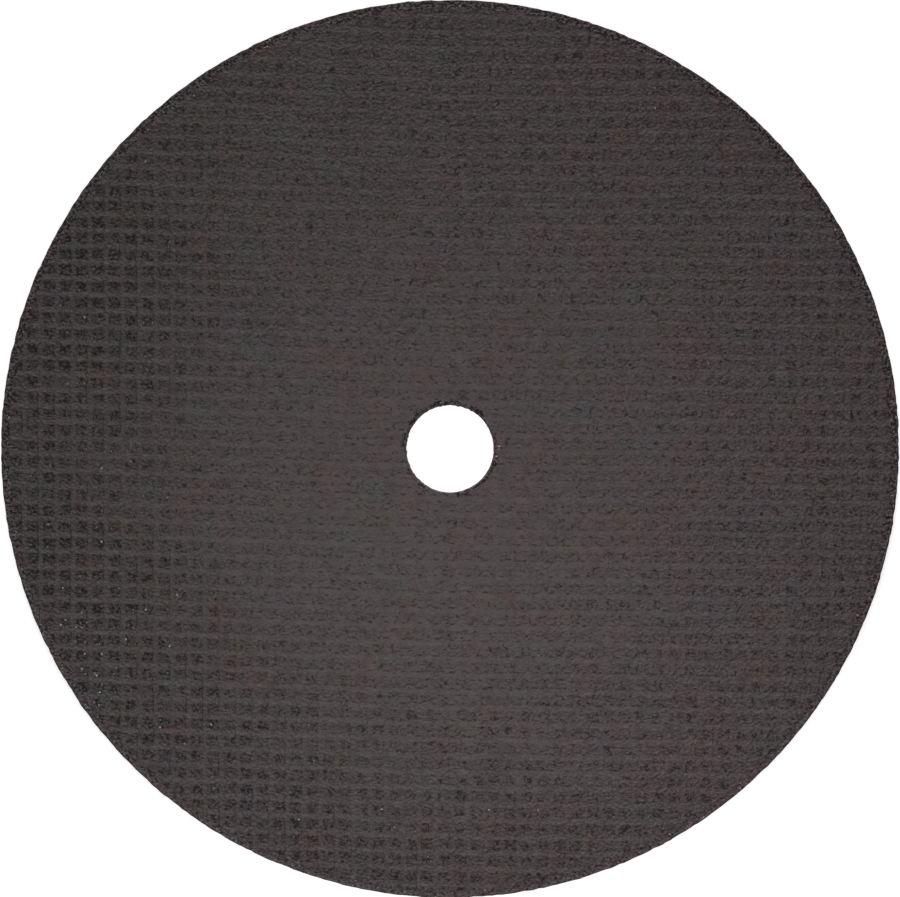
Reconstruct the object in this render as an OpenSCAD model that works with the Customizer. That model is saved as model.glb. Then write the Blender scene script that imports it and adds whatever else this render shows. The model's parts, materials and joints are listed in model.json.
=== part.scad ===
// Flat cut-off wheel: abrasive grain and resin, pressed and baked into one disc
// between two open glass-fibre fabrics. The wheel lies on its lower face, with
// its arbor bore on the Z axis and the weft yarns of the fabric close to the X axis.

/* [Wheel] */
// Outside diameter of the wheel
wheel_d = 228.6; // [100:0.1:400]
// Thickness over the yarns of both faces
wheel_t = 3.2; // [2.4:0.1:6]

/* [Bore] */
// Diameter of the arbor bore
bore_d = 22.23; // [6:0.01:60]
// Width of the broken edge at each mouth of the bore
bore_edge = 0.4; // [0.1:0.05:0.6]

/* [Fabric] */
// Distance from one weft yarn to the next
weft_pitch = 4.09; // [3:0.01:8]
// Width of the flat crown of a weft yarn
weft_crown = 0.9; // [0.4:0.05:1.4]
// Width of each sloping flank of a weft yarn
weft_flank = 0.5; // [0.2:0.05:0.7]
// Height of a weft yarn above the grain beside it
weft_h = 0.2; // [0.1:0.05:0.35]
// Distance in Y from the bore axis to the nearest weft yarn
weft_offset = -1.05; // [-2:0.01:2]
// Angle of the weft yarns to the X axis
weft_angle = -1.3; // [-10:0.1:10]

/* [Rim] */
// Width of the bare rim outside the fabric
rim_w = 2.2; // [1.2:0.1:6]
// Depth of the bare rim below the grain between the yarns
rim_step = 0.12; // [0.05:0.01:0.3]
// Width of the slope from the fabric down to the bare rim
rim_slope = 0.7; // [0.3:0.05:0.7]
// Width of the broken edge at each corner of the rim
rim_edge = 0.35; // [0.1:0.05:0.4]

/* [Hidden] */
$fn = 180;

wheel_r = wheel_d / 2;
bore_r = bore_d / 2;
fabric_r = wheel_r - rim_w;

// Heights above the lower face
grain_top = wheel_t - weft_h;
grain_bottom = weft_h;
rim_top = grain_top - rim_step;
rim_bottom = grain_bottom + rim_step;

// The turned blank stands this far above and below the yarns that trim it
spare = 1;
slope_run = rim_slope / (weft_h + rim_step);

// Enough yarns to pass both sides of the wheel
yarns_each_side = ceil(wheel_r / weft_pitch) + 1;
plate_half = (yarns_each_side + 1) * weft_pitch;

// Centre of weft yarn number i, across the yarns
function yarn_y(i) = i * weft_pitch;

// Four corners of one yarn's ridge, from its foot at level foot_z to its crown at crown_z
function ridge(y, foot_z, crown_z) = [
    [y - weft_crown / 2 - weft_flank, foot_z],
    [y - weft_crown / 2, crown_z],
    [y + weft_crown / 2, crown_z],
    [y + weft_crown / 2 + weft_flank, foot_z]
];

// Section across the yarns: grain with a row of ridges on its upper and lower faces
module ridged_section() {
    upper = [for (i = [-yarns_each_side : yarns_each_side]) each ridge(yarn_y(i), grain_top, wheel_t)];
    lower = [for (i = [-yarns_each_side : yarns_each_side]) each ridge(yarn_y(i), grain_bottom, 0)];
    right = [[plate_half, grain_top], [plate_half, grain_bottom]];
    left = [[-plate_half, grain_bottom], [-plate_half, grain_top]];
    polygon(concat(upper, right, [for (k = [len(lower) - 1 : -1 : 0]) lower[k]], left));
}

// Sheet with the weft ridges of both fabrics running along X
module ridged_sheet() {
    rotate([0, 0, weft_angle])
        translate([0, weft_offset, 0])
            rotate([90, 0, 90])
                linear_extrude(height = 2 * plate_half, center = true)
                    ridged_section();
}

// Section of the blank from bore to rim: broken edges, bare rim and the slope up to the fabric
module blank_section() {
    polygon([
        [bore_r, bore_edge],
        [bore_r + bore_edge + spare, -spare],
        [fabric_r - slope_run * spare, -spare],
        [fabric_r + rim_slope, rim_bottom],
        [wheel_r - rim_edge, rim_bottom],
        [wheel_r, rim_bottom + rim_edge],
        [wheel_r, rim_top - rim_edge],
        [wheel_r - rim_edge, rim_top],
        [fabric_r + rim_slope, rim_top],
        [fabric_r - slope_run * spare, wheel_t + spare],
        [bore_r + bore_edge + spare, wheel_t + spare],
        [bore_r, wheel_t - bore_edge]
    ]);
}

module cut_off_wheel() {
    color("#4a4443")
        intersection() {
            rotate_extrude() blank_section();
            ridged_sheet();
        }
}

cut_off_wheel();
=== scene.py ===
# %% [markdown]
# A flat cut-off wheel lies on a pale floor, and the camera looks straight down on it. The real wheel is
# one piece: abrasive grain and resin are pressed between two open glass-fibre fabrics and baked. So there
# is one piece to model here, and nearly all of its look is in its two woven faces and its gritty rim. The
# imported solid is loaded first. It gives the main sizes that this lesson needs.

# %% Load the wheel and keep its box
import json
import math
from types import SimpleNamespace

import bpy
import numpy as np
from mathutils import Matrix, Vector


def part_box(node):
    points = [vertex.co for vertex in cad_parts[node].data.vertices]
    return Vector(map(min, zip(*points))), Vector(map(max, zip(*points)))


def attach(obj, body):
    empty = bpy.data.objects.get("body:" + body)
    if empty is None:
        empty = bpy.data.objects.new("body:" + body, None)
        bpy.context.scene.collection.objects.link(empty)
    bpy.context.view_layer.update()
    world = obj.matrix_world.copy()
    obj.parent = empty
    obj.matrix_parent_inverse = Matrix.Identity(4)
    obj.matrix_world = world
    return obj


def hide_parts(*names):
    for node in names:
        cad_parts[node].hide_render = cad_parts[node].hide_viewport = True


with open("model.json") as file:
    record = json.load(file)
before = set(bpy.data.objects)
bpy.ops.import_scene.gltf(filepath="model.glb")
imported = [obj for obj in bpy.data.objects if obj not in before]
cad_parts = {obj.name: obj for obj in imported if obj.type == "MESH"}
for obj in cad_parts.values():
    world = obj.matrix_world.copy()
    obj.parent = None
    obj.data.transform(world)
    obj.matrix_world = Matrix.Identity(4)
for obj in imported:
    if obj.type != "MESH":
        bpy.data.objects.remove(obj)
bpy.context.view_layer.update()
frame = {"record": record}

mm = 0.001
NODE = "cut_off_wheel"
low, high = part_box(NODE)
wheel_r = (high.x - low.x) / 2
wheel_t = high.z - low.z
bore = next(m for m in frame["record"]["mounts"] if m["name"] == "bore")
bore_r = bore["dims"]["r_mm"] * mm
bore_edge = (wheel_t - bore["dims"]["length_mm"] * mm) / 2
print(f"wheel {2 * wheel_r / mm:.1f} mm across, {wheel_t / mm:.2f} mm thick, bore {2 * bore_r / mm:.2f} mm")

# %% [markdown]
# The camera stands above the bore, with the image's up along +Y. A product photograph of a flat thing is
# taken with a long lens, so that the wall of the bore doesn't show. The height follows from the lens and
# from the width that one pixel covers, because the wheel has to fill the picture as it does in the photo.

# %% Camera
PHOTO_W_PX = 900
WHEEL_W_PX = 896.5
WHEEL_DROP_PX = 0.3
LENS_MM = 100
SENSOR_MM = 36
SEES_TO = 100

pixel = 2 * wheel_r / WHEEL_W_PX
camera_z = wheel_t / 2 + PHOTO_W_PX * pixel * LENS_MM / SENSOR_MM
bpy.ops.object.select_all(action="DESELECT")
bpy.ops.object.camera_add(location=(0, WHEEL_DROP_PX * pixel, camera_z), rotation=(0, 0, 0))
camera = bpy.context.object
camera.data.lens = LENS_MM
camera.data.sensor_width = SENSOR_MM
camera.data.clip_end = SEES_TO
bpy.context.scene.camera = camera
print(f"camera {camera_z / mm:.0f} mm up, {pixel / mm:.4f} mm to a pixel")

# %% [markdown]
# Five small helpers are used all the way. Blender's operators act on whatever is selected, and loading
# leaves the solids selected, so each step first selects one object alone. Vertices are picked by their
# place, from arrays, because a woven face has far too many of them to pick one by one.

# %% Helpers for selecting, measuring and applying
def take(piece):
    """Makes piece the only selected object."""
    bpy.ops.object.select_all(action="DESELECT")
    piece.select_set(True)
    bpy.context.view_layer.objects.active = piece


def places(piece):
    """Every vertex of piece as rows of x, y, z."""
    found = np.zeros(len(piece.data.vertices) * 3, np.float32)
    piece.data.vertices.foreach_get("co", found)
    return found.reshape(-1, 3).astype(float)


def shape(piece, kind, **settings):
    """Adds one modifier to piece and applies it."""
    take(piece)
    modifier = piece.modifiers.new(kind.lower(), kind)
    for name, value in settings.items():
        setattr(modifier, name, value)
    bpy.ops.object.modifier_apply(modifier=modifier.name)


def clouds(name, grain_size, depth=1):
    """A soft noise with lumps of about grain_size, for Displace."""
    texture = bpy.data.textures.new(name, "CLOUDS")
    texture.noise_scale = grain_size
    texture.noise_depth = depth
    return texture


def weigh(piece, name, weights):
    """A vertex group of piece with one weight for each vertex."""
    group = piece.vertex_groups.new(name=name)
    for index, weight in enumerate(weights):
        if weight > 0:
            group.add([index], float(weight), "REPLACE")
    return name


# %% [markdown]
# The blank is what lies between the two fabrics: a disc with a bore, broken edges and a bare rim that is
# a little lower than the fabric. It could be cut from a cylinder, but every one of its edges runs round
# the axis, so one section is drawn corner by corner and spun. It stands proud of both faces, because the
# press plates of a later step take that off. The rim gets a few extra rings, which its grit needs.

# %% Blank: draw the section and spin it
SPIN_STEPS = 600
WELD = 0.001 * mm
weft_h = 0.2 * mm
rim_w = 2.2 * mm
rim_step = 0.12 * mm
rim_slope = 0.7 * mm
rim_edge = 0.35 * mm
spare = 1 * mm

fabric_r = wheel_r - rim_w
rim_top = wheel_t - weft_h - rim_step
rim_bottom = weft_h + rim_step
slope_run = spare * rim_slope / (weft_h + rim_step)


def stretch(start, end, parts):
    """Points from start to just before end, in equal parts."""
    return [tuple(a + (b - a) * i / parts for a, b in zip(start, end)) for i in range(parts)]


section = [
    *stretch((bore_r, bore_edge), (bore_r, wheel_t - bore_edge), 2),
    *stretch((bore_r, wheel_t - bore_edge), (bore_r + bore_edge, wheel_t), 2),
    (bore_r + bore_edge + spare, wheel_t + spare),
    (fabric_r - slope_run, wheel_t + spare),
    *stretch((fabric_r, wheel_t), (fabric_r + rim_slope, rim_top), 2),
    *stretch((fabric_r + rim_slope, rim_top), (wheel_r - rim_edge, rim_top), 3),
    (wheel_r - rim_edge, rim_top),
    *stretch((wheel_r, rim_top - rim_edge), (wheel_r, rim_bottom + rim_edge), 4),
    (wheel_r, rim_bottom + rim_edge),
    *stretch((wheel_r - rim_edge, rim_bottom), (fabric_r + rim_slope, rim_bottom), 2),
    (fabric_r + rim_slope, rim_bottom),
    (fabric_r - slope_run, -spare),
    (bore_r + bore_edge + spare, -spare),
]


def draw_outline(corners):
    """A closed outline in the XZ plane: one vertex, extruded from corner to corner."""
    bpy.ops.mesh.primitive_plane_add(size=mm, enter_editmode=True)
    bpy.ops.mesh.merge(type="CENTER")
    bpy.ops.transform.translate(value=(corners[0][0], 0, corners[0][1]))
    for (r0, z0), (r1, z1) in zip(corners, corners[1:] + corners[:1]):
        bpy.ops.mesh.extrude_region_move(TRANSFORM_OT_translate={"value": (r1 - r0, 0, z1 - z0)})
    bpy.ops.mesh.select_all(action="SELECT")
    bpy.ops.mesh.remove_doubles(threshold=WELD)


bpy.ops.object.select_all(action="DESELECT")
draw_outline(section)
bpy.ops.mesh.spin(steps=SPIN_STEPS, angle=2 * math.pi, center=(0, 0, 0), axis=(0, 0, 1))
bpy.ops.mesh.select_all(action="SELECT")
bpy.ops.mesh.remove_doubles(threshold=WELD)
bpy.ops.mesh.normals_make_consistent(inside=False)
bpy.ops.object.mode_set(mode="OBJECT")
wheel = bpy.context.object
wheel.name = "pressed_wheel"
print(f"blank: {len(section)} corners spun into {len(wheel.data.polygons)} faces")

# %% [markdown]
# The bare rim is rough, because the grains stand out of the resin where no fabric holds them. A Displace
# modifier with a soft noise lifts and sinks the rings of the rim by up to a sixth of a millimetre, and a
# wider noise makes its outline wavy. A third one breaks the edges of the bore, most towards the upper
# left, where the photograph shows them ragged. The middle of the bore's wall stays true, for the arbor.

# %% Blank: grit on the rim and on the broken edges of the bore
RIM_GRIT = 0.9 * mm
RIM_GRIT_H = 0.32 * mm
RIM_WAVES = 2.4 * mm
RIM_WAVES_H = 0.42 * mm
BORE_GRIT = 1.0 * mm
BORE_GRIT_H = 0.9 * mm
RAGGED_SIDE = math.radians(125)
RAGGED_ALL_ROUND = 0.6
RAGGED_MORE = 0.4

at = places(wheel)
radius = np.hypot(at[:, 0], at[:, 1])
angle = np.arctan2(at[:, 1], at[:, 0])
on_rim = np.where(radius > fabric_r, 1.0, 0.0)
on_wall = np.where(radius > wheel_r - 2 * rim_edge, 1.0, 0.0)
on_bore_edge = (radius < bore_r + 2 * bore_edge) & (np.abs(at[:, 2] - wheel_t / 2) > bore_edge)
by_side = np.where(on_bore_edge, RAGGED_ALL_ROUND + RAGGED_MORE * np.cos(angle - RAGGED_SIDE), 0.0)
for name, size, height, share in (
    ("rim_grit", RIM_GRIT, RIM_GRIT_H, on_rim),
    ("rim_waves", RIM_WAVES, RIM_WAVES_H, on_wall),
    ("bore_grit", BORE_GRIT, BORE_GRIT_H, by_side),
):
    group = weigh(wheel, name, share)
    lumps = clouds(name, size, 2)
    shape(wheel, "DISPLACE", texture=lumps, strength=height, mid_level=0.5, vertex_group=group)
    print(f"{name} on {int((share > 0).sum())} vertices")

# %% [markdown]
# Each face of the wheel is the print of a fabric. In the factory the mix is squeezed between two plates,
# so it is made the same way here: a press plate carries the fabric's relief, and a Boolean presses it
# into the blank. A plate starts as a grid. Its lines are slid to where the yarns have their crowns and
# feet, so that few faces give a clear ridge. The place on the flat fabric, counted in yarns, goes into a
# UV map, and the finish reads it later, so that paint and relief stay together however the fabric
# wanders.

# %% Press plates: a grid with its lines on the yarns
WEFT_PITCH = 4.09 * mm
WARP_PITCH = 4.19 * mm
WEFT_OFFSET = -1.05 * mm
WARP_OFFSET = 0.6 * mm
YARNS = 58

# Places of the grid's lines across one yarn and the gap after it, in pitches from the yarn's middle
FRONT_WEFT_LINES = (-0.22, -0.01, 0.07, 0.22, 0.5)
FRONT_WARP_LINES = (-0.15, 0.0, 0.15, 0.38, 0.62)
BACK_LINES = (-0.18, 0.0, 0.18)


def pick(piece, chosen):
    """Selects the chosen vertices of piece and nothing else, and stays in edit mode."""
    take(piece)
    bpy.ops.object.mode_set(mode="EDIT")
    bpy.ops.mesh.select_all(action="DESELECT")
    bpy.ops.object.mode_set(mode="OBJECT")
    piece.data.vertices.foreach_set("select", chosen)
    bpy.ops.object.mode_set(mode="EDIT")


def slide_lines(piece, axis, lines, pitch):
    """Slides the grid's even lines along axis, so that each pitch has them at the places in lines."""
    first = places(piece)[:, axis].min()
    step = pitch / len(lines)
    number = np.rint((places(piece)[:, axis] - first) / step).astype(int) % len(lines)
    for line, wanted in enumerate(lines):
        move = [0, 0, 0]
        move[axis] = wanted * pitch - line * step
        pick(piece, number == line)
        bpy.ops.transform.translate(value=move)
        bpy.ops.object.mode_set(mode="OBJECT")


def fabric_grid(name, warp_lines, weft_lines, z):
    """A flat grid at height z that covers the wheel, with its lines on the yarns and a UV map in yarns."""
    bpy.ops.object.select_all(action="DESELECT")
    bpy.ops.mesh.primitive_grid_add(
        x_subdivisions=YARNS * len(warp_lines),
        y_subdivisions=YARNS * len(weft_lines),
        size=1,
        enter_editmode=True,
    )
    bpy.ops.transform.resize(value=(YARNS * WARP_PITCH, YARNS * WEFT_PITCH, 1))
    bpy.ops.transform.translate(value=(WARP_OFFSET, WEFT_OFFSET, z))
    bpy.ops.mesh.select_mode(type="VERT")
    bpy.ops.object.mode_set(mode="OBJECT")
    plate = bpy.context.object
    plate.name = name
    slide_lines(plate, 0, warp_lines, WARP_PITCH)
    slide_lines(plate, 1, weft_lines, WEFT_PITCH)
    corner_vertex = np.zeros(len(plate.data.loops), np.int32)
    plate.data.loops.foreach_get("vertex_index", corner_vertex)
    yarns = (places(plate)[:, :2] - (WARP_OFFSET, WEFT_OFFSET)) / (WARP_PITCH, WEFT_PITCH)
    plate.data.uv_layers[0].name = "fabric"
    plate.data.uv_layers[0].data.foreach_set("uv", yarns[corner_vertex].astype(np.float32).ravel())
    return plate


front_plate = fabric_grid("front_plate", FRONT_WARP_LINES, FRONT_WEFT_LINES, wheel_t)
back_plate = fabric_grid("back_plate", BACK_LINES, BACK_LINES, 0)
print(f"plates: {len(front_plate.data.polygons)} faces in front, {len(back_plate.data.polygons)} behind")

# %% [markdown]
# Between the yarns the mix is pressed back, so a plate has a pad there. How far it goes is a weight on
# each vertex: none on a weft yarn, part of the way on a warp yarn, which lies under the weft, and all the
# way in the gaps. The photograph shows open, dark gaps towards the left and the bottom of the wheel, and
# a patch left of the bore where resin has filled them nearly flush. So how open the print is rises slowly
# with the distance from that patch, and further at four open places. The back, which isn't seen, is open
# evenly.

# %% Press plates: how open the print is, and the pads between the yarns
PIT_DEPTH = 0.24 * mm
WARP_DEPTH = 0.45
CROWN = 0.1
PAD_GRIT = 1.3 * mm
PAD_GRIT_H = 0.16 * mm
FILLED_AT = (-17 * mm, 8 * mm)
LEAST_OPEN = 0.085
OPEN_RISE = 0.24
OPEN_CURVE = 1.5
BACK_OPEN = 0.45

# Where the gaps stay open: place and reach in mm, and how much more open they are there
OPEN_PLACES = (
    (-97, 37, 40, 0.58),
    (-97, -42, 34, 0.44),
    (-60, -85, 45, 0.25),
    (10, -118, 40, 0.17),
)


def open_share(x, y):
    """How open the front print is at x, y: 1 where the gaps are bare, near 0 where resin fills them."""
    away = np.hypot(x - FILLED_AT[0], y - FILLED_AT[1]) / wheel_r
    share = LEAST_OPEN + OPEN_RISE * away**OPEN_CURVE
    for place_x, place_y, reach, more in OPEN_PLACES:
        off = np.hypot(x / mm - place_x, y / mm - place_y) / reach
        share = share + more * np.exp(-off * off)
    return np.clip(share, 0, 1)


def from_yarn(x, offset, pitch):
    """Distance to the nearest yarn's middle, in pitches."""
    turns = (x - offset) / pitch
    return np.abs(turns - np.rint(turns))


def press_pads(plate, outward):
    """Presses the gaps of a plate towards the wheel and roughens their floor. Outward is +1 in front."""
    at = places(plate)
    off_weft = from_yarn(at[:, 1], WEFT_OFFSET, WEFT_PITCH) > CROWN
    off_warp = from_yarn(at[:, 0], WARP_OFFSET, WARP_PITCH) > CROWN
    opened = open_share(at[:, 0], at[:, 1]) if outward > 0 else BACK_OPEN
    pads = weigh(plate, "pads", np.where(off_weft, 1.0, 0.0) * np.where(off_warp, 1.0, WARP_DEPTH) * opened)
    grit = clouds("pad_grit", PAD_GRIT, 2)
    along = {"direction": "Z", "vertex_group": pads}
    shape(plate, "DISPLACE", mid_level=0, strength=-outward * PIT_DEPTH, **along)
    shape(plate, "DISPLACE", mid_level=0.5, strength=PAD_GRIT_H, texture=grit, **along)


for plate, outward in ((front_plate, 1), (back_plate, -1)):
    press_pads(plate, outward)
    print(plate.name, "relief", round(float(np.ptp(places(plate)[:, 2])) / mm, 3), "mm")

# %% [markdown]
# No hand-laid fabric is straight. Two weak noises push the yarns to and fro, and a lattice with five
# stations across the wheel bows the weft, which in the photograph falls fast from the left rim to the
# bore and slowly from there to the right rim. Then each plate is extruded away from the wheel, which
# closes it, so that a Boolean can press with it.

# %% Press plates: wander and bow, then thicken
WANDER_X = 17 * mm
WANDER_Y = 14 * mm
WANDER_H = 0.5 * mm
BOW = (3.6 * mm, 1.9 * mm, 0, -0.6 * mm, -1.5 * mm)
BOW_OVERHANG = 12 * mm
PLATE_T = 4 * mm


def wander(plate):
    """Lets the yarns wander a little in the plane of the fabric."""
    for direction, size in (("X", WANDER_X), ("Y", WANDER_Y)):
        push = clouds(f"wander_{direction.lower()}", size)
        shape(plate, "DISPLACE", texture=push, direction=direction, mid_level=0.5, strength=WANDER_H)


def bow_weft(plate):
    """Bows the weft with a lattice that has one row of stations across the wheel."""
    bpy.ops.object.select_all(action="DESELECT")
    bpy.ops.object.add(type="LATTICE")
    lattice = bpy.context.object
    span = 2 * wheel_r + BOW_OVERHANG
    lattice.scale = (span, span, 1)
    lattice.data.points_u = len(BOW)
    lattice.data.points_v = 1
    lattice.data.points_w = 1
    lattice.data.interpolation_type_u = "KEY_CATMULL_ROM"
    for point, lift in zip(lattice.data.points, BOW):
        point.co_deform.y += lift / span
    bpy.context.view_layer.update()
    shape(plate, "LATTICE", object=lattice)
    bpy.data.objects.remove(lattice)


for plate, outward in ((front_plate, 1), (back_plate, -1)):
    wander(plate)
    bow_weft(plate)
    take(plate)
    bpy.ops.object.mode_set(mode="EDIT")
    bpy.ops.mesh.select_all(action="SELECT")
    bpy.ops.mesh.extrude_region_move(TRANSFORM_OT_translate={"value": (0, 0, outward * PLATE_T)})
    bpy.ops.mesh.select_all(action="SELECT")
    bpy.ops.mesh.normals_make_consistent(inside=False)
    bpy.ops.object.mode_set(mode="OBJECT")
    print(f"{plate.name}: {len(plate.data.polygons)} faces, closed")

# %% [markdown]
# Now the two Booleans press the faces, and they keep the plates' UV map. Wheel and plates share one
# material, so the pressed faces have it too. The mesh is then welded and cut into triangles, and its open
# edges are counted, because a pressed disc has none. Last, every vertex keeps how open the print is
# there, as an attribute that the finish reads.

# %% Press the wheel
PRESS_WELD = 0.0005 * mm
SHARP_FROM = math.radians(35)

pressed_grain = bpy.data.materials.new("pressed_grain")
for piece in (wheel, front_plate, back_plate):
    piece.data.materials.append(pressed_grain)
for plate in (front_plate, back_plate):
    shape(wheel, "BOOLEAN", operation="DIFFERENCE", solver="MANIFOLD", object=plate)
    bpy.data.objects.remove(plate)

take(wheel)
bpy.ops.object.mode_set(mode="EDIT")
bpy.ops.mesh.select_all(action="SELECT")
bpy.ops.mesh.remove_doubles(threshold=PRESS_WELD)
bpy.ops.mesh.quads_convert_to_tris()
bpy.ops.mesh.select_all(action="DESELECT")
bpy.ops.mesh.select_non_manifold()
bpy.ops.object.mode_set(mode="OBJECT")
open_edges = sum(edge.select for edge in wheel.data.edges)
bpy.ops.object.shade_smooth_by_angle(angle=SHARP_FROM)

at = places(wheel)
opened = np.where(at[:, 2] > wheel_t / 2, open_share(at[:, 0], at[:, 1]), BACK_OPEN)
attribute = wheel.data.attributes.new("open_share", "FLOAT", "POINT")
attribute.data.foreach_set("value", opened.astype(np.float32))
print(f"wheel: {len(wheel.data.polygons)} triangles, {open_edges} open edges")

# %% [markdown]
# A finish is a graph of nodes. A few helpers keep it readable: one adds a node and fills its sockets,
# with a value or a link, and the others add a sum, a smooth step, a noise or a mix of colours. All
# patterns read the wheel's own coordinates or its fabric map, in real sizes, so that a grain of half a
# millimetre is half a millimetre from any side. The range of a smooth step says where it starts and ends
# and, where they aren't 0 and 1, its values there.

# %% Helpers for nodes
def fill(tree, socket, value):
    """Links a socket to another one, or sets it to a plain value."""
    if isinstance(value, bpy.types.NodeSocket):
        tree.links.new(value, socket)
    else:
        socket.default_value = value


def add(tree, kind, settings=None, **sockets):
    """Adds a node of this kind. Sockets are named by their label in small letters with underscores."""
    node = tree.nodes.new(kind)
    for name, value in (settings or {}).items():
        setattr(node, name, value)
    for name, value in sockets.items():
        socket = next(s for s in node.inputs if s.enabled and s.name.lower().replace(" ", "_") == name)
        fill(tree, socket, value)
    return node


def calc(tree, operation, *values):
    """One Math node on numbers or sockets."""
    node = add(tree, "ShaderNodeMath", {"operation": operation})
    for socket, value in zip(node.inputs, values):
        fill(tree, socket, value)
    return node.outputs[0]


def vector(tree, operation, *values):
    """One Vector Math node on vectors or sockets."""
    node = add(tree, "ShaderNodeVectorMath", {"operation": operation})
    for socket, value in zip(node.inputs, values):
        fill(tree, socket, value)
    return node.outputs["Value" if operation == "LENGTH" else "Vector"]


def ease(tree, value, start, end, low=0.0, high=1.0):
    """A smooth step of value from low at start to high at end."""
    settings = {"interpolation_type": "SMOOTHSTEP"}
    sockets = {"value": value, "from_min": start, "from_max": end, "to_min": low, "to_max": high}
    return add(tree, "ShaderNodeMapRange", settings, **sockets).outputs[0]


def noise(tree, place, size, detail=0.0, roughness=0.5, twist=0.0):
    """A noise around 0, from about -0.5 to 0.5, with lumps of about this size, curled by twist."""
    look = {"scale": 1 / size, "detail": detail, "roughness": roughness, "distortion": twist}
    texture = add(tree, "ShaderNodeTexNoise", None, vector=place, **look)
    return calc(tree, "SUBTRACT", texture.outputs["Fac"], 0.5)


def blend(tree, factor, first, second, kind="MIX"):
    """First colour at factor 0, second at 1."""
    node = add(tree, "ShaderNodeMix", {"data_type": "RGBA", "blend_type": kind})
    for socket, value in zip((node.inputs[0], node.inputs[6], node.inputs[7]), (factor, first, second)):
        fill(tree, socket, value)
    return node.outputs[2]


def axes(tree, place):
    """The X, Y and Z of a vector."""
    return add(tree, "ShaderNodeSeparateXYZ", None, vector=place).outputs


def from_above(tree, place):
    """The distance of place from the wheel's axis."""
    return vector(tree, "LENGTH", vector(tree, "MULTIPLY", place, (1, 1, 0)))


def paint(red, green, blue):
    """A colour as it is read off a picture, from 0 to 255, made linear for a socket."""
    shares = [c / 255 for c in (red, green, blue)]
    return (*[((s + 0.055) / 1.055) ** 2.4 for s in shares], 1)


# %% [markdown]
# The wheel is one pressed mix, so it has one finish. What changes over it is how far the mix has sunk
# between the yarns: not at all on a yarn, and deepest in an open pit. The yarns come from the fabric map,
# with ragged edges, because resin has run over them. A weft yarn ends sharply below its middle and fades
# slowly above it. That paints shade just under each weft and light over its upper side, as from a lamp on
# the +Y side. Near the rim and at the bore the fabric ends and the mix is bare.

# %% Finish: where the yarns are, and where the mix is bare
EDGE_RAGS = 1.4 * mm
EDGE_RAGS_H = 0.2

# Where a yarn begins and where it is full, in pitches from its middle. The weft's sharp lower side is
# painted shade under it, and its slow upper side is painted light on it
WEFT_SHADED_SIDE = (-0.09, 0.02)
WEFT_LIT_SIDE = (0.44, 0.14)
WARP_EDGE = (0.24, 0.05)

# Distances to both sides of the fabric's edge, and outwards from the bore
BARE_FADE = 0.5 * mm
BARE_RAGS_H = 2 * mm
MOUTH_FADE = (1.6 * mm, 0.8 * mm)
MOUTH_WORN = (0.2 * mm, 0.6 * mm, 0.4, 1)
MOUTH_PATCHES = 7 * mm
MOUTH_PATCHY = (-0.12, 0.1, 0.4, 1.2)


def ragged_fabric(tree, place, fabric):
    """The fabric map, in yarns along and across, with a small noise that makes every edge ragged."""
    texture = add(tree, "ShaderNodeTexNoise", None, vector=place, scale=1 / EDGE_RAGS, detail=1.0)
    rags = vector(tree, "SUBTRACT", texture.outputs["Color"], (0.5, 0.5, 0.5))
    return vector(tree, "MULTIPLY_ADD", rags, (EDGE_RAGS_H, EDGE_RAGS_H, 0), fabric)


def yarn_shares(tree, yarns):
    """How much of a weft yarn and of a warp yarn there is at a place, from 0 to 1."""
    off_weft = calc(tree, "WRAP", yarns[1], 0.5, -0.5)
    # Painted shade and light: the weft ends sharply below its middle and fades slowly above it
    weft = calc(tree, "MINIMUM", ease(tree, off_weft, *WEFT_SHADED_SIDE), ease(tree, off_weft, *WEFT_LIT_SIDE))
    warp = ease(tree, calc(tree, "PINGPONG", yarns[0], 0.5), *WARP_EDGE)
    return weft, warp


def bareness(tree, place):
    """1 where the mix is bare, at the rim and in places at the bore, and 0 on the fabric."""
    ragged = calc(tree, "MULTIPLY", noise(tree, place, EDGE_RAGS, 1), BARE_RAGS_H)
    radius = calc(tree, "ADD", ragged, from_above(tree, place))
    rim = ease(tree, radius, fabric_r - BARE_FADE, fabric_r + BARE_FADE)
    from_bore = calc(tree, "SUBTRACT", radius, bore_r)
    mouth = ease(tree, from_bore, *MOUTH_FADE)
    mouth = calc(tree, "MULTIPLY", mouth, ease(tree, from_bore, *MOUTH_WORN))
    patches = ease(tree, noise(tree, place, MOUTH_PATCHES), *MOUTH_PATCHY)
    return calc(tree, "MAXIMUM", rim, calc(tree, "MULTIPLY", mouth, patches))


# %% [markdown]
# Next comes all that the finish knows of a place, gathered once: the yarns, the gap between them, and how
# open, filled, bare, sunk and rough the mix is. A pit is a little deeper or shallower than its
# neighbours, by chance, as is each patch of the wheel. The mix is smooth beside the bore and rougher
# towards the rim. Its grain is a noise, and the resin over it is the same noise smeared along the weft.

# %% Finish: how far the mix has sunk, and how rough it is
WARP_SHOWS = 0.9
PATCHES = 11 * mm
PATCHES_H = 0.28
FILLED = (0.6, 0.15)
PIT_CHANCE = (0.85, 1.25)
BARE_SUNK = (0.5, 1.25)
SMOOTH_AT = (-8 * mm, -15 * mm, 0)
SMOOTH_TO_ROUGH = (15 * mm, 110 * mm)
SMOOTH_PATCHES_H = 42 * mm
ROUGHNESS = (0.6, 1.6)
BARE_ROUGH = 2.6
GRAIN = 0.72 * mm
GRAIN_LOOK = {"detail": 1.5, "roughness": 0.6}
GRAIN_STRETCH = (0.9, 1, 1)
SMEAR_STRETCH = (0.78, 1, 1)
SMEAR_TWIST = 0.6


def by_number(tree, place):
    """A random number from 0 to 1 for each whole step of place."""
    return add(tree, "ShaderNodeTexWhiteNoise", {"noise_dimensions": "2D"}, vector=place).outputs["Value"]


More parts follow.
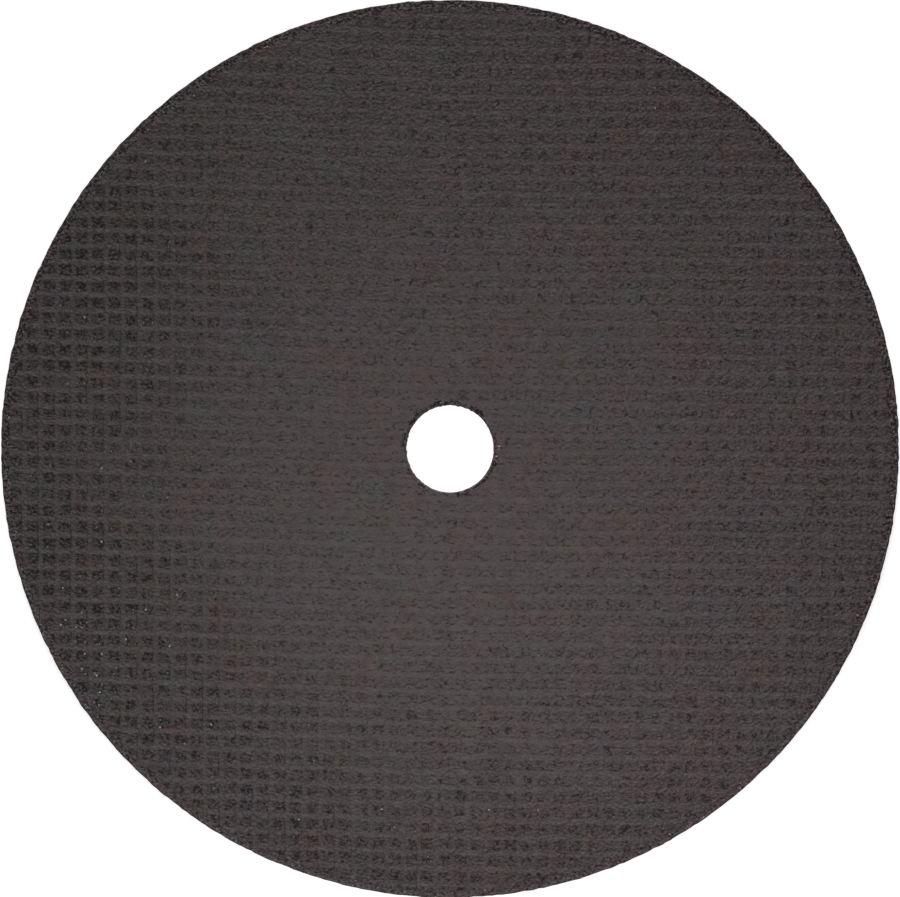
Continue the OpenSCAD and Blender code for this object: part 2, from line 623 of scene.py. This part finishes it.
def sinking(tree, mix):
    """How far the mix has sunk, in the pits and on the bare rim, which is sunk most at the top."""
    chance = ease(tree, by_number(tree, vector(tree, "FLOOR", mix.fabric)), 0, 1, *PIT_CHANCE)
    in_pit = calc(tree, "MULTIPLY", mix.gap, calc(tree, "MULTIPLY", mix.opened, chance))
    on_bare = ease(tree, axes(tree, mix.place)["Y"], -wheel_r, wheel_r, *BARE_SUNK)
    return calc(tree, "MULTIPLY_ADD", mix.bare, on_bare, calc(tree, "MULTIPLY", in_pit, mix.held))


def roughness(tree, mix):
    """How rough the mix is: little at one place beside the bore, more towards the rim, most where bare."""
    away = from_above(tree, vector(tree, "SUBTRACT", mix.place, SMOOTH_AT))
    away = calc(tree, "MULTIPLY_ADD", noise(tree, mix.place, PATCHES, 1), SMOOTH_PATCHES_H, away)
    rough = ease(tree, away, *SMOOTH_TO_ROUGH, *ROUGHNESS)
    return calc(tree, "MAXIMUM", rough, calc(tree, "MULTIPLY", mix.bare, BARE_ROUGH))


def read_mix(tree):
    """All that the finish knows of a place."""
    mix = SimpleNamespace()
    mix.place = add(tree, "ShaderNodeTexCoord").outputs["Object"]
    mix.fabric = add(tree, "ShaderNodeUVMap", {"uv_map": "fabric"}).outputs["UV"]
    mix.yarns = axes(tree, ragged_fabric(tree, mix.place, mix.fabric))
    weft, mix.warp = yarn_shares(tree, mix.yarns)
    yarn = calc(tree, "MAXIMUM", weft, calc(tree, "MULTIPLY", mix.warp, WARP_SHOWS))
    mix.gap = calc(tree, "SUBTRACT", 1, yarn)
    mix.bare = bareness(tree, mix.place)
    mix.held = calc(tree, "SUBTRACT", 1, mix.bare)
    opened = add(tree, "ShaderNodeAttribute", {"attribute_name": "open_share"}).outputs["Fac"]
    mix.opened = calc(tree, "MULTIPLY_ADD", noise(tree, mix.place, PATCHES, 1), PATCHES_H, opened)
    mix.filled = ease(tree, mix.opened, *FILLED)
    mix.sunk = sinking(tree, mix)
    mix.rough = roughness(tree, mix)
    mix.grain = noise(tree, vector(tree, "MULTIPLY", mix.place, GRAIN_STRETCH), GRAIN, **GRAIN_LOOK)
    smeared = vector(tree, "MULTIPLY", mix.place, SMEAR_STRETCH)
    mix.smear = noise(tree, smeared, GRAIN, twist=SMEAR_TWIST, **GRAIN_LOOK)
    return mix


# %% [markdown]
# Five kinds of dark mark cover the wheel. In a pit the grains stand apart, with holes between them, so
# one noise decides where a hole could be, and how far the mix has sunk decides how much of that noise is
# a hole; the hole's darkness is painted shade. The resin has short dashes along the weft, and curly lines
# of painted shade between the grains, which gather in the gaps. A warp yarn has a slit of painted shade
# on its left at some crossings of an open stretch, and where resin fills the print a crease of painted
# shade across it shows where it dives under the weft.

# %% Finish: the dark marks
HOLE_EDGE = (-0.18, 0.03)
MARK_SOFT = 0.12
DASH_EDGE = -0.11
MARKS_ON_YARN = (0.17, 0.31)
MARKS_IN_GAP = (0.8, 1.0)
# Curly lines of painted shade between the grains
CURL = 1.5 * mm
CURL_DETAIL = 0.6
CURL_TWIST = 0.7
CURL_STRETCH = (0.85, 1, 1)
CURL_LINE = (0.055, 0.015)
CURL_BREAKS = 1.3 * mm
CURL_SHOWS = (0, 0.16)
CURL_IN_GAP = (0.4, 1.05)
# The slits beside the warp yarns are painted shade
SLIT_AT = -0.17
SLIT_W = 0.055
SLIT_CHANCE = (0.45, 1)
SLIT_DEPTH = (0.08, 0.7)
SLIT_OPEN = (0.3, 0.6)
DIVE_BREAKS = 1.6 * mm
DIVE_SHOWS = (-0.2, 0.1, 0.35, 1)
DIVE_OPEN = 0.2

# The creases across a warp yarn, painted as shade: place from the weft's middle and width, in pitches, and
# depth
DIVES = ((0.35, 0.075, 0.85), (-0.24, 0.06, 0.45))


def thin_line(tree, turns, at, width):
    """A thin line once in every turn, at this share of it, with soft edges."""
    off = calc(tree, "PINGPONG", calc(tree, "SUBTRACT", turns, at), 0.5)
    return ease(tree, off, width, width / 2)


def slits(tree, mix):
    """Painted shade in slits beside the warp yarns, at some of the crossings of an open stretch."""
    crossing = by_number(tree, vector(tree, "FLOOR", vector(tree, "ADD", mix.fabric, (0.5, 0.5, 0))))
    depth = ease(tree, mix.opened, *SLIT_OPEN, *SLIT_DEPTH)
    depth = calc(tree, "MULTIPLY", ease(tree, crossing, *SLIT_CHANCE), depth)
    return calc(tree, "MULTIPLY", thin_line(tree, mix.yarns[0], SLIT_AT, SLIT_W), depth)


def dives(tree, mix):
    """Painted shade in creases across each warp yarn, above and below a weft yarn, where it dives under it.
    """
    lines = [(thin_line(tree, mix.yarns[1], at, width), depth) for at, width, depth in DIVES]
    crease = calc(tree, "MAXIMUM", *[calc(tree, "MULTIPLY", line, depth) for line, depth in lines])
    broken = ease(tree, noise(tree, mix.place, DIVE_BREAKS), *DIVE_SHOWS)
    crease = calc(tree, "MULTIPLY", crease, calc(tree, "MULTIPLY", mix.warp, broken))
    return calc(tree, "MULTIPLY", crease, ease(tree, mix.filled, 0, 1, DIVE_OPEN, 1))


def curls(tree, mix):
    """Short curly lines of painted shade that run between the grains, stronger where the mix is rough."""
    stretched = vector(tree, "MULTIPLY", mix.place, CURL_STRETCH)
    winding = noise(tree, stretched, CURL, CURL_DETAIL, twist=CURL_TWIST)
    shaded_line = ease(tree, calc(tree, "ABSOLUTE", winding), *CURL_LINE)
    shaded_line = calc(tree, "MULTIPLY", shaded_line, ease(tree, noise(tree, mix.place, CURL_BREAKS), *CURL_SHOWS))
    in_gap = ease(tree, mix.gap, 0, 1, *CURL_IN_GAP)
    return calc(tree, "MULTIPLY", shaded_line, calc(tree, "MULTIPLY", in_gap, mix.rough))


def dark_marks(tree, mix):
    """1 in the holes, dashes, curly lines, slits and creases, and 0 elsewhere. The holes, curly lines,
    slits and creases are painted shade.
    """
    # A hole between the grains is painted shade
    hole = calc(tree, "SUBTRACT", ease(tree, mix.sunk, 0, 1, *HOLE_EDGE), mix.grain)
    hole = ease(tree, hole, 0, MARK_SOFT)
    dash = ease(tree, calc(tree, "SUBTRACT", DASH_EDGE, mix.smear), 0, MARK_SOFT)
    on_yarn, in_gap = [
        calc(tree, "MULTIPLY_ADD", mix.filled, filled - opened, opened)
        for opened, filled in (MARKS_ON_YARN, MARKS_IN_GAP)
    ]
    gathered = ease(tree, mix.gap, 0, 1, on_yarn, in_gap)
    spread = calc(tree, "MAXIMUM", slits(tree, mix), dives(tree, mix))
    line = calc(tree, "MULTIPLY", spread, mix.held)
    shaded_line = calc(tree, "MAXIMUM", line, calc(tree, "MULTIPLY", curls(tree, mix), gathered))
    return calc(tree, "MAXIMUM", hole, calc(tree, "MAXIMUM", calc(tree, "MULTIPLY", dash, gathered), shaded_line))


# %% [markdown]
# Now and then a broken grain glints, mostly in the pits and on the bare rim, and in some places far more
# than in others. A texture of cells gives one cell to each grain, with three random numbers: whether it
# glints, how brightly and how large. The colour of the resin drifts too. It is a little redder towards
# the right, with sparse soft stains of rust, green, yellow and blue. Two wide noises place them, and only
# the noises' ends count, so that most of the wheel stays clean.

# %% Finish: glints and stains
GLINT_CELL = 0.62 * mm
GLINT_SHARE = 0.3
GLINT_SUNK = (0.25, 0.9)
GLINT_CROWDS = 9 * mm
GLINT_CROWDED = (-0.1, 0.2, 0.25, 1)
GLINTS_AT = (-93 * mm, -47 * mm, 3 * mm)
GLINTS_REACH = 34 * mm
GLINTS_MORE = 0.7
GLINT_RARITY = 5
GLINT_BRIGHT = (0.95, 0.06)
GLINT_SIZE = (0.5, 1, 0.8, 1.35)
GLINT_EDGE = (0.55, 0.2)
LEFT_TINT = (0.984, 1.004, 0.998, 1)
RIGHT_TINT = (1.021, 0.986, 1.016, 1)

# Stains: size, then for each end of the noise where it begins and is full, and its tint
STAINS = (
    (7 * mm, ((0.05, 0.3), (1.11, 0.92, 0.9, 1)), ((-0.06, -0.3), (0.91, 1.09, 1.06, 1))),
    (6 * mm, ((0.08, 0.3), (1, 1, 0.82, 1)), ((-0.05, -0.3), (0.99, 0.98, 1.07, 1))),
)


def glints(tree, mix):
    """How brightly a broken grain glints, and 0 on all the other grains."""
    cells = add(tree, "ShaderNodeTexVoronoi", None, vector=mix.place, scale=1 / GLINT_CELL).outputs
    chance = add(tree, "ShaderNodeSeparateColor", None, color=cells["Color"]).outputs
    away = vector(tree, "LENGTH", vector(tree, "SUBTRACT", mix.place, GLINTS_AT))
    crowd = ease(tree, noise(tree, mix.place, GLINT_CROWDS, 1), *GLINT_CROWDED)
    crowd = calc(tree, "ADD", crowd, ease(tree, away, GLINTS_REACH, 0, 0, GLINTS_MORE))
    share = calc(tree, "MULTIPLY", crowd, ease(tree, mix.sunk, *GLINT_SUNK, 0, GLINT_SHARE))
    share = calc(tree, "MAXIMUM", share, calc(tree, "MULTIPLY", mix.bare, GLINT_SHARE))
    chosen = calc(tree, "LESS_THAN", chance[0], share)
    bright = calc(tree, "MULTIPLY_ADD", calc(tree, "POWER", chance[1], GLINT_RARITY), *GLINT_BRIGHT)
    shine = calc(tree, "MULTIPLY", chosen, calc(tree, "MULTIPLY", bright, crowd))
    off = calc(tree, "DIVIDE", cells["Distance"], ease(tree, chance[2], *GLINT_SIZE))
    return calc(tree, "MULTIPLY", shine, ease(tree, off, *GLINT_EDGE))


def stained(tree, place):
    """The tint of the resin, from left to right, with its stains."""
    tint = blend(tree, ease(tree, axes(tree, place)["X"], -wheel_r, wheel_r), LEFT_TINT, RIGHT_TINT)
    for number, (size, *ends) in enumerate(STAINS):
        moved = vector(tree, "ADD", place, (number * wheel_r, number * wheel_r, 0))
        cloud = noise(tree, moved, size, 2)
        for reach, colour in ends:
            tint = blend(tree, ease(tree, cloud, *reach), tint, colour, "MULTIPLY")
    return tint


# %% [markdown]
# The last step mixes the colour. A yarn is a little lighter than a pit, whose tone is partly painted shade
# among its grains, the bare rim is redder, and every dark mark goes towards one deep tone, which is mostly
# painted shade. Uneven lumps of resin make all of it lighter and darker, and the same lumps, less the
# marks, are the height of a Bump node, which is finer than the mesh could carry. The mix is dull, and
# duller still in the pits.

# %% Finish: colour and relief together
YARN_TONE = paint(77.5, 70.5, 70.2)
# A pit's tone is darker partly for its darker grain and partly as painted shade among the grains
PIT_TONE_AND_SHADE = paint(71, 63.7, 63.4)
BARE_TONE = paint(86.8, 76.3, 76.8)
# One deep tone for every dark mark; in the holes, curly lines, slits and creases it is painted shade
MARK_AND_SHADE_TONE = paint(36, 31, 30.7)
GLINT_TONE = paint(190, 188, 186)
FINE_GRAIN = 0.75 * mm
SMEAR_SHARE = 0.75
FINE_SHARE = 1.05
GRAIN_SHARE = (0.4, 1.2)
LUMPS_IN_GAP = (0.85, 1.15)
WIDE_LUMPS = 2.6 * mm
WIDE_SHARE = 0.5
LUMP_SHADE = 0.75
OPEN_SHADE = 0.89
DULLNESS = (0.7, 0.9)
SHEEN = 0.2
LUMP_H = 0.4 * mm
MARK_DEPTH = 0.1 * mm


def resin_lumps(tree, mix):
    """The uneven resin, around 0: smeared on a yarn, grainy in a pit, and rougher towards the rim."""
    fine = noise(tree, mix.place, FINE_GRAIN, 1)
    lumps = calc(tree, "MULTIPLY_ADD", mix.smear, SMEAR_SHARE, calc(tree, "MULTIPLY", fine, FINE_SHARE))
    lumps = calc(tree, "MULTIPLY_ADD", mix.grain, ease(tree, mix.sunk, 0, 1, *GRAIN_SHARE), lumps)
    rough = calc(tree, "MULTIPLY", mix.rough, ease(tree, mix.gap, 0, 1, *LUMPS_IN_GAP))
    wide = calc(tree, "MULTIPLY", noise(tree, mix.place, WIDE_LUMPS), WIDE_SHARE)
    return calc(tree, "MULTIPLY_ADD", lumps, rough, wide)


def mixed_tone(tree, mix, dark, lumps):
    """The colour of the mix."""
    # Towards a pit the tone darkens: darker grain, and painted shade among the grains
    tone = blend(tree, mix.sunk, YARN_TONE, PIT_TONE_AND_SHADE)
    tone = blend(tree, mix.bare, tone, BARE_TONE)
    # Every dark mark goes to one deep tone, mostly painted shade
    tone = blend(tree, dark, tone, MARK_AND_SHADE_TONE)
    shade = ease(tree, calc(tree, "MAXIMUM", mix.filled, mix.bare), 0, 1, OPEN_SHADE, 1)
    shade = calc(tree, "MULTIPLY_ADD", lumps, LUMP_SHADE, shade)
    tone = add(tree, "ShaderNodeHueSaturation", None, color=tone, value=shade).outputs[0]
    tone = blend(tree, 1, tone, stained(tree, mix.place), "MULTIPLY")
    return blend(tree, glints(tree, mix), tone, GLINT_TONE)


def finish_pressed_grain(material):
    """Colour, dullness and relief of the pressed mix."""
    material.use_nodes = True
    tree = material.node_tree
    shader = tree.nodes["Principled BSDF"]
    mix = read_mix(tree)
    dark = dark_marks(tree, mix)
    lumps = resin_lumps(tree, mix)
    height = calc(tree, "MULTIPLY_ADD", lumps, LUMP_H, calc(tree, "MULTIPLY", dark, -MARK_DEPTH))
    relief = add(tree, "ShaderNodeBump", None, height=height, strength=1.0, distance=1.0)
    fill(tree, shader.inputs["Base Color"], mixed_tone(tree, mix, dark, lumps))
    fill(tree, shader.inputs["Roughness"], ease(tree, mix.sunk, 0, 1, *DULLNESS))
    fill(tree, shader.inputs["Normal"], relief.outputs[0])
    shader.inputs["Specular IOR Level"].default_value = SHEEN


finish_pressed_grain(pressed_grain)
print("pressed grain:", len(pressed_grain.node_tree.nodes), "nodes")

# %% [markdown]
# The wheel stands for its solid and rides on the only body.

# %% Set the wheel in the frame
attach(wheel, "root")
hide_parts(NODE)
print(f"{wheel.name} rides on root, in place of {NODE}")

# %% [markdown]
# The floor is white in the picture, as the photograph's ground is, yet keeps the wheel's shadow. It is a
# pale matt surface with a little light of its own, which only the camera, mirrors and glass see, so the
# wheel is lit as by any pale floor. The sky is white to the camera in the same way.

# %% Floor and sky
FLOOR_SIZE = 12
FLOOR_GREY = (0.8, 0.8, 0.8, 1)
FLOOR_MATT = 0.9
FLOOR_GLOW = 0.72
SKY_LIGHT = 0.1
WHITE = (1, 1, 1, 1)

bpy.ops.object.select_all(action="DESELECT")
bpy.ops.mesh.primitive_plane_add(size=FLOOR_SIZE)
floor = bpy.context.object
floor.name = "floor"


def seen_directly(tree):
    """1 for rays that show the ground itself, and 0 for those that light the wheel."""
    path = add(tree, "ShaderNodeLightPath").outputs
    mirrored = calc(tree, "MAXIMUM", path["Is Glossy Ray"], path["Is Transmission Ray"])
    return calc(tree, "MAXIMUM", path["Is Camera Ray"], mirrored)


pale = bpy.data.materials.new("pale_floor")
pale.use_nodes = True
floor.data.materials.append(pale)
pale_shader = pale.node_tree.nodes["Principled BSDF"]
pale_shader.inputs["Base Color"].default_value = FLOOR_GREY
pale_shader.inputs["Roughness"].default_value = FLOOR_MATT
pale_shader.inputs["Specular IOR Level"].default_value = 0
pale_shader.inputs["Emission Color"].default_value = WHITE
glow = calc(pale.node_tree, "MULTIPLY", seen_directly(pale.node_tree), FLOOR_GLOW)
fill(pale.node_tree, pale_shader.inputs["Emission Strength"], glow)

sky = bpy.data.worlds.new("sky")
bpy.context.scene.world = sky
sky.use_nodes = True
ground = sky.node_tree.nodes["Background"]
ground.inputs["Color"].default_value = WHITE
strength = ease(sky.node_tree, seen_directly(sky.node_tree), 0, 1, SKY_LIGHT, 1)
fill(sky.node_tree, ground.inputs["Strength"], strength)
print(f"floor {FLOOR_SIZE} m wide, sky at {SKY_LIGHT}")

# %% [markdown]
# Two soft boxes light the wheel. A small one hangs close above its lower half, because the photograph is
# a little lighter there. A large one stands far off at the top of the picture and rakes over the face,
# which brings out the yarns. They are set so that a colour renders about as it is written.

# %% Light
# Each lamp: name, place and width in metres, and watts
LAMPS = (
    ("overhead", (0.006, -0.071, 0.15), 0.2, 0.184),
    ("raking", (-0.5, 4.5, 1.5), 2, 190),
)


def soft_box(name, place, width, watts):
    """A square area light at place that points at the wheel and stays out of the picture."""
    bpy.ops.object.light_add(type="AREA", location=place)
    lamp = bpy.context.object
    lamp.name = name
    lamp.data.shape = "SQUARE"
    lamp.data.size = width
    lamp.data.energy = watts
    lamp.rotation_euler = lamp.location.to_track_quat("Z", "Y").to_euler()
    lamp.visible_camera = False


for lamp in LAMPS:
    soft_box(*lamp)
    print(f"{lamp[0]} light, {lamp[2]} m wide")

view = bpy.context.scene.view_settings
view.view_transform = "Standard"
